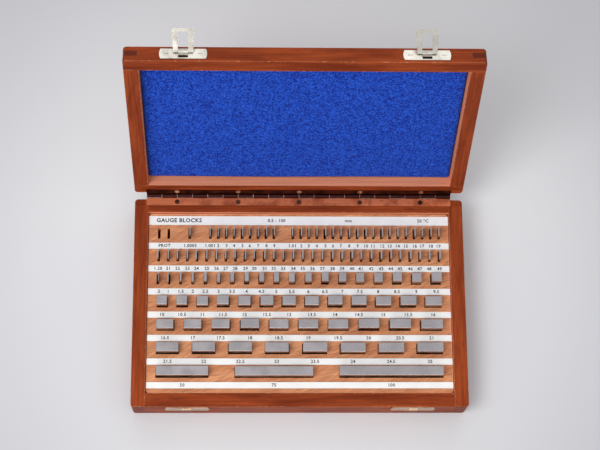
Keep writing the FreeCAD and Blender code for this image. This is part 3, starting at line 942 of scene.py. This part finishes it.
@dataclass
class SizeNumbers:
    """The sizes printed on the label strips, each under its block.

    Attributes:
        height: The height of the figures.
        ink_depth: Half the depth of the ink, most of it in the strip.
        guard_slots: The middle of the two empty slots of the protector blocks, from the
            strip's left end.
        figure_share: The height of a figure, in parts of the font's size.
        spacing: The distance between the letters, where 1 is plain.
        finish: The ink's finish.
    """

    height: float = 3.1 * MM
    ink_depth: float = 0.02 * MM
    guard_slots: float = 15.4 * MM
    figure_share: float = 0.7
    spacing: float = 1.08
    finish: PrintInk = field(default_factory=PrintInk)

    def middles(self, node: str, sizes: Sequence[float]) -> list[float]:
        """The middle X of each block of a node, from its box and the blocks' own widths.

        The blocks' corners are put in order along X. Each block starts at the first corner
        past the last block's far side, and is as wide as its size.

        Args:
            node: The CAD node that holds the blocks.
            sizes: Their sizes in millimetres, from left to right.

        Returns:
            The middles, in metres.
        """
        places = np.sort(mesh_points(frame["nodes"][node].data)[:, 0])
        found, edge = [], places[0] - 1.0 * MM
        for size in sizes:
            start = places[np.searchsorted(places, edge + 0.2 * MM)]
            found.append(float(start + size * MM / 2))
            edge = start + size * MM
        return found

    def row_words(self, groups: Sequence[tuple[str, Sequence[float], Sequence[str]]]
                  ) -> list[PrintedWord]:
        """The words of a strip from its groups of node, sizes and texts."""
        words = []
        for node, sizes, texts in groups:
            words += [PrintedWord(text, x, self.height)
                      for text, x in zip(texts, self.middles(node, sizes))]
        return words

    def letter_mesh(self, word: PrintedWord) -> tuple[np.ndarray, list[list[int]]]:
        """The points and faces of a word about its own middle, from Blender's own font."""
        curve = bpy.data.curves.new(word.text, "FONT")
        curve.body = word.text
        curve.size = word.height / self.figure_share
        curve.offset = word.weight.value * curve.size
        curve.extrude = self.ink_depth
        curve.resolution_u = 2
        curve.space_character = self.spacing
        curve.align_x, curve.align_y = "CENTER", "CENTER"
        holder = bpy.data.objects.new(word.text, curve)
        bpy.context.scene.collection.objects.link(holder)
        mesh = bpy.data.meshes.new_from_object(
            holder.evaluated_get(bpy.context.evaluated_depsgraph_get()))
        points, faces = mesh_points(mesh), [list(face.vertices) for face in mesh.polygons]
        bpy.data.objects.remove(holder)
        bpy.data.curves.remove(curve)
        bpy.data.meshes.remove(mesh)
        return points, faces

    def print_on(self, strip: str, words: Sequence[PrintedWord],
                 ink: bpy.types.Material) -> bpy.types.Object:
        """Prints words along a strip's middle line, as one mesh.

        Args:
            strip: The strip's CAD node.
            words: What is printed.
            ink: The ink's material.

        Returns:
            The printed words.
        """
        low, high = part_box(strip)
        points, faces, count = [], [], 0
        for word in words:
            letters, corners = self.letter_mesh(word)
            letters += (word.x, (low.y + high.y) / 2, high.z)
            faces += [[corner + count for corner in face] for face in corners]
            count += len(letters)
            points.append(letters)
        piece = new_piece(f"print_{strip}", np.concatenate(points), faces, smooth=False)
        piece.data.materials.append(ink)
        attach(piece, "base")
        log.info("%s has %d words and rides on base", piece.name, len(words))
        return piece


def stepped(first: float, last: float, step: float) -> list[float]:
    """The sizes from first to last, both included."""
    return [round(first + step * count, 4) for count in range(round((last - first) / step) + 1)]


def figures(sizes: Sequence[float]) -> list[str]:
    """Sizes as they are written, with no zero before the point."""
    return [f"{size:g}".removeprefix("0") for size in sizes]


@dataclass
class Tray:
    """The slotted tray with its label strips and their print.

    Attributes:
        wood: The tray's finish.
        plastic: The strips' finish.
        numbers: The printed sizes.
    """

    wood: SawnWood = field(default_factory=SawnWood)
    plastic: PrintedPlastic = field(default_factory=PrintedPlastic)
    numbers: SizeNumbers = field(default_factory=SizeNumbers)

    def rows(self) -> list[list[PrintedWord]]:
        """The words of the seven strips, from the back."""
        thousandths = stepped(1.001, 1.009, 0.001)
        hundredths = stepped(1.01, 1.19, 0.01)
        more_hundredths = stepped(1.20, 1.49, 0.01)
        guard = PrintedWord("PROT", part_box("label_strip_1")[0].x + self.numbers.guard_slots,
                            self.numbers.height)
        halves = [("gauges_0_5_to_9_5", 0.5, 9.5), ("gauges_10_to_16", 10.0, 16.0),
                  ("gauges_16_5_to_21", 16.5, 21.0)]
        rows = [[guard] + self.numbers.row_words([
            ("gauge_1_0005", [1.0005], ["1.0005"]),
            ("gauges_1_001_to_1_009", thousandths, ["1.001"] + list("23456789")),
            ("gauges_1_01_to_1_19", hundredths,
             ["1.01"] + [str(number) for number in range(2, 20)])])]
        rows.append(self.numbers.row_words([
            ("gauges_1_20_to_1_49", more_hundredths,
             ["1.20"] + [str(number) for number in range(21, 50)])]))
        for node, first, last in halves:
            sizes = stepped(first, last, 0.5)
            rows.append(self.numbers.row_words([(node, sizes, figures(sizes))]))
        wide = stepped(21.5, 25.0, 0.5)
        rows.append(self.numbers.row_words([
            (f"gauge_{size:g}".replace(".", "_"), [size], figures([size])) for size in wide]))
        rows.append(self.numbers.row_words([
            (f"gauge_{size}", [float(size)], [str(size)]) for size in (50, 75, 100)]))
        return rows

    def heading(self) -> list[PrintedWord]:
        """The plain words of the header strip."""
        low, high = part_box("header_strip")
        width = high.x - low.x
        return [PrintedWord("GAUGE BLOCKS", low.x + 0.1 * width, 4.0 * MM, Weight.HEAVY),
                PrintedWord("0.5 - 100", low.x + 0.425 * width, self.numbers.height),
                PrintedWord("mm", low.x + 0.665 * width, self.numbers.height),
                PrintedWord("20 °C", low.x + 0.915 * width, self.numbers.height)]

    def build(self) -> None:
        """Dresses the tray and the strips and prints the words."""
        dress("gauge_tray", self.wood.material("gauge_tray"))
        plastic = self.plastic.material("label_plastic")
        ink = self.numbers.finish.material("label_ink")
        dress("header_strip", plastic)
        self.numbers.print_on("header_strip", self.heading(), ink)
        for number, words in enumerate(self.rows(), start=1):
            strip = f"label_strip_{number}"
            dress(strip, plastic)
            self.numbers.print_on(strip, words, ink)


@dataclass
class GaugeBlocks:
    """The 112 steel blocks in their slots.

    Attributes:
        steel: The blocks' finish.
    """

    steel: LappedSteel = field(default_factory=LappedSteel)

    def build(self) -> None:
        """Dresses the blocks: thin ones lapped across, thick ones along."""
        across = self.steel.material("lapped_steel_across", 90.0)
        along = self.steel.material("lapped_steel_along", 0.0)
        for node in frame["nodes"]:
            if node.startswith("gauges_1_") and "_to_1_" in node or node == "gauge_1_0005":
                dress(node, across)
            elif node.startswith(("gauge_", "gauges_")) and node != "gauge_tray":
                dress(node, along)


@dataclass
class Case:
    """The walls and boards of the base and the lid.

    Attributes:
        wood: The walls' finish.
        veneer: The boards' finish.
        lid_shift: How far the lid's wood pattern is from the base's.
        board_shifts: Which part of the pattern the base's and the lid's board show.
    """

    wood: LacqueredWood = field(default_factory=LacqueredWood)
    veneer: VeneeredBoard = field(default_factory=VeneeredBoard)
    lid_shift: float = 0.37
    board_shifts: tuple[float, float] = (2.6, 6.1)

    def build(self) -> None:
        """Dresses each wall with its own stretch of grain, and the two boards."""
        runs = {"front": Run.WIDTH, "back": Run.WIDTH, "left": Run.DEPTH, "right": Run.DEPTH}
        for half, leaning in (("base", STILL), ("lid", LID)):
            for number, (side, run) in enumerate(runs.items()):
                node = f"{half}_{side}_wall"
                shift = number + (self.lid_shift if leaning is LID else 0.0)
                dress(node, self.wood.material(node, run, leaning, shift))
        for node, leaning, shift in zip(("base_bottom_board", "lid_top_board"), (STILL, LID),
                                        self.board_shifts):
            dress(node, self.veneer.material(node, leaning, shift))


@dataclass
class Hinge:
    """The piano hinge with its pin and screws.

    Attributes:
        bronze: The base's leaf.
        shaded_bronze: A painted-dark copy of the same bronze for the lid's leaf, for the shade and
            dark reflection on it.
        steel: The screws in the lid and the pin.
        dark_steel: A painted-dark copy of the screw steel for the screws in the base, for the shade
            in their countersinks.
    """

    bronze: OldBronze = field(default_factory=OldBronze)
    # Painted shade: the lid's leaf is the base's bronze made dark, for the dark that it reflects.
    shaded_bronze: OldBronze = field(default_factory=lambda: OldBronze(
        bright=paint(64, 38, 32), patina=paint(30, 17, 15)))
    steel: PlatedMetal = field(default_factory=lambda: PlatedMetal(
        roughness=0.32, tint=paint(236, 222, 206), dull=paint(190, 172, 156)))
    # Painted shade: the same screws as in the lid, made dark for the shade where they sit.
    dark_steel: PlatedMetal = field(default_factory=lambda: PlatedMetal(
        roughness=0.36, tint=paint(112, 72, 58), dull=paint(66, 38, 30)))

    def build(self) -> None:
        """Dresses the leaves, the pin and the hinge's screws."""
        dress("hinge_leaf_base", self.bronze.material("old_bronze"))
        dress("hinge_leaf_lid", self.shaded_bronze.material("black_bronze"))
        screw = self.steel.material("screw_steel")
        dress("hinge_pin", screw)
        dress("hinge_screws_lid", screw)
        dress("hinge_screws_base", self.dark_steel.material("dark_screw_steel"))


@dataclass
class Latches:
    """The two hasps with their plates, keepers and screws.

    Attributes:
        nickel: The plates and hasps on the lid.
        slit: Half the width and height of the painted shade under each bridge, which stands for its
        opening, and its depth below the pivot.
        keeper: The keepers on the base, warmer with age.
    """

    nickel: PlatedMetal = field(default_factory=PlatedMetal)
    slit: tuple[float, float, float] = (4.5 * MM, 1.4 * MM, 4.4 * MM)
    keeper: PlatedMetal = field(default_factory=lambda: PlatedMetal(
        roughness=0.34, tint=paint(206, 176, 150), dull=paint(178, 144, 116)))

    def build(self) -> None:
        """Dresses the hasps and plates, and the keepers on the base."""
        plain = self.nickel.material("nickel", LID)
        plate = replace(self.nickel, slit=self.slit).material("nickel_plate", LID)
        for side in ("left", "right"):
            dress(f"latch_plate_{side}", plate)
            dress(f"hasp_{side}", plain)
        keeper = self.keeper.material("keeper_plate")
        for node in ("keeper_left", "keeper_right", "keeper_screws"):
            dress(node, keeper)
        dress("latch_screws", plain)


# Studio.

@dataclass(frozen=True)
class Softbox:
    """A soft lamp.

    Attributes:
        name: Its name.
        place: Where it stands.
        size: Its width and height.
        watts: Its power.
    """

    name: str
    place: tuple[float, float, float]
    size: tuple[float, float]
    watts: float

    def build(self, target: Vector) -> None:
        """Sets the lamp up, turned to a point."""
        lamp = bpy.data.lights.new(self.name, "AREA")
        lamp.shape = "RECTANGLE"
        lamp.size, lamp.size_y = self.size
        lamp.energy = self.watts
        holder = bpy.data.objects.new(self.name, lamp)
        holder.location = self.place
        holder.rotation_euler = (target - Vector(self.place)).to_track_quat("-Z", "Y").to_euler()
        holder.visible_camera = False
        bpy.context.scene.collection.objects.link(holder)


@dataclass
class Studio:
    """Camera, lamps, pale floor and the even light around them.

    Attributes:
        eye: Where the camera stands.
        pitch: How far it looks down, in degrees.
        yaw: How far it looks towards +X, in degrees.
        roll: How far it is turned about its own line of sight, in degrees.
        lens: Its focal length in millimetres.
        sensor: The sensor's width in millimetres.
        glow: The strength of the even light.
        middle: The paper about the case, palest in a painted pool of light, and the backdrop.
        dim_paper: The paper further out, painted dimmer where the pool of light falls off.
        paper_half: Half the width of the paper.
        paper_gap: How far the paper lies under the case.
        pale_middle: The X and Y of the middle of the painted pool of light.
        pale_reach: The distances from it at which the painted pool of light starts and ends to
            fade.
        lamps: The soft lamps.
    """

    eye: tuple[float, float, float] = (-51.02 * MM, -388.19 * MM, 1589.09 * MM)
    pitch: float = 73.24
    yaw: float = 6.36
    roll: float = 6.26
    lens: float = 99.07
    sensor: float = 36.0
    glow: float = 0.62
    middle: Colour = paint(226, 226, 229)
    dim_paper: Colour = paint(183, 183, 188)
    paper_half: float = 6.0
    paper_gap: float = 0.1 * MM
    pale_middle: tuple[float, float] = (0.0, 0.055)
    pale_reach: tuple[float, float] = (0.10, 0.50)
    lamps: tuple[Softbox, ...] = (
        Softbox("front_softbox", (-0.5, -2.3, 1.1), (2.2, 1.0), 16.1),
        Softbox("rear_softbox", (0.2, 2.0, 1.75), (2.4, 0.9), 7.6),
        Softbox("top_softbox", (-1.2, -0.7, 2.4), (1.2, 1.2), 31.1),
    )

    def camera(self) -> None:
        """The camera, its axes worked out from pitch, yaw and roll."""
        pitch, yaw, roll = (math.radians(a) for a in (self.pitch, self.yaw, self.roll))
        ahead = Vector((math.sin(yaw) * math.cos(pitch), math.cos(yaw) * math.cos(pitch),
                        -math.sin(pitch)))
        right = Vector((math.cos(yaw), -math.sin(yaw), 0.0))
        up = right.cross(ahead)
        x_axis = math.cos(roll) * right + math.sin(roll) * up
        y_axis = -math.sin(roll) * right + math.cos(roll) * up
        data = bpy.data.cameras.new("camera")
        data.lens, data.sensor_width, data.sensor_fit = self.lens, self.sensor, "HORIZONTAL"
        data.clip_start, data.clip_end = 0.05, 50.0
        camera = bpy.data.objects.new("camera", data)
        camera.matrix_world = Matrix.Translation(self.eye) @ Matrix(
            (x_axis, y_axis, -ahead)).transposed().to_4x4()
        bpy.context.scene.collection.objects.link(camera)
        bpy.context.scene.camera = camera

    def surround(self) -> None:
        """Even white light, seen as the pale backdrop by camera, mirror and glass rays."""
        world = bpy.data.worlds.new("studio")
        world.use_nodes = True
        graph = Graph(world.node_tree)
        world.node_tree.nodes.clear()
        even = graph.add("ShaderNodeBackground")
        even.inputs["Color"].default_value = (1.0, 1.0, 1.0, 1.0)
        even.inputs["Strength"].default_value = self.glow
        shown = graph.add("ShaderNodeBackground")
        shown.inputs["Color"].default_value = self.middle
        shown.inputs["Strength"].default_value = 1.0
        path = graph.add("ShaderNodeLightPath").outputs
        seen = graph.maths("MAXIMUM", path["Is Camera Ray"], graph.maths(
            "MAXIMUM", path["Is Glossy Ray"], path["Is Transmission Ray"]))
        mixed = graph.add("ShaderNodeMixShader")
        for socket, value in zip(mixed.inputs, (seen, even.outputs[0], shown.outputs[0])):
            graph.feed(socket, value)
        graph.feed(graph.add("ShaderNodeOutputWorld").inputs["Surface"], mixed.outputs[0])
        bpy.context.scene.world = world

    def floor(self) -> None:
        """A wide matt floor at the case's underside, with a painted pool of light about the middle.
        """
        size, height = self.paper_half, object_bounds()[0].z - self.paper_gap
        corners = np.array([(-size, -size, height), (size, -size, height),
                            (size, size, height), (-size, size, height)])
        piece = new_piece("studio_floor", corners, [(0, 1, 2, 3)], smooth=False)
        material, graph, shader, place = Finish(0.9, 0.1).begin("studio_paper")
        middle = graph.mapping(place, shift=(-self.pale_middle[0], -self.pale_middle[1], 0.0))
        distance = graph.vectors("LENGTH", middle).outputs[1]
        # Painted light: the paper is palest about the case and darker further out.
        colour = graph.mix(graph.span(distance, *self.pale_reach), self.middle, self.dim_paper)
        graph.feed(shader.inputs["Base Color"], colour)
        piece.data.materials.append(material)
        piece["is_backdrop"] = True

    def build(self) -> None:
        """Sets up the whole studio."""
        self.camera()
        self.surround()
        self.floor()
        low, high = CAD_BOX
        target = (low + high) / 2
        for lamp in self.lamps:
            lamp.build(target)
        bpy.context.scene.view_settings.view_transform = "Standard"


def main() -> None:
    """Builds the set, piece by piece, and the studio round it."""
    logging.basicConfig(level=logging.INFO, format="%(name)s: %(message)s")
    for part in (Case(), Tray(), GaugeBlocks(), FoamLiner(), Hinge(), Latches(), Studio()):
        part.build()
        log.info("%s is ready", type(part).__name__)


if __name__ == "__main__":
    main()
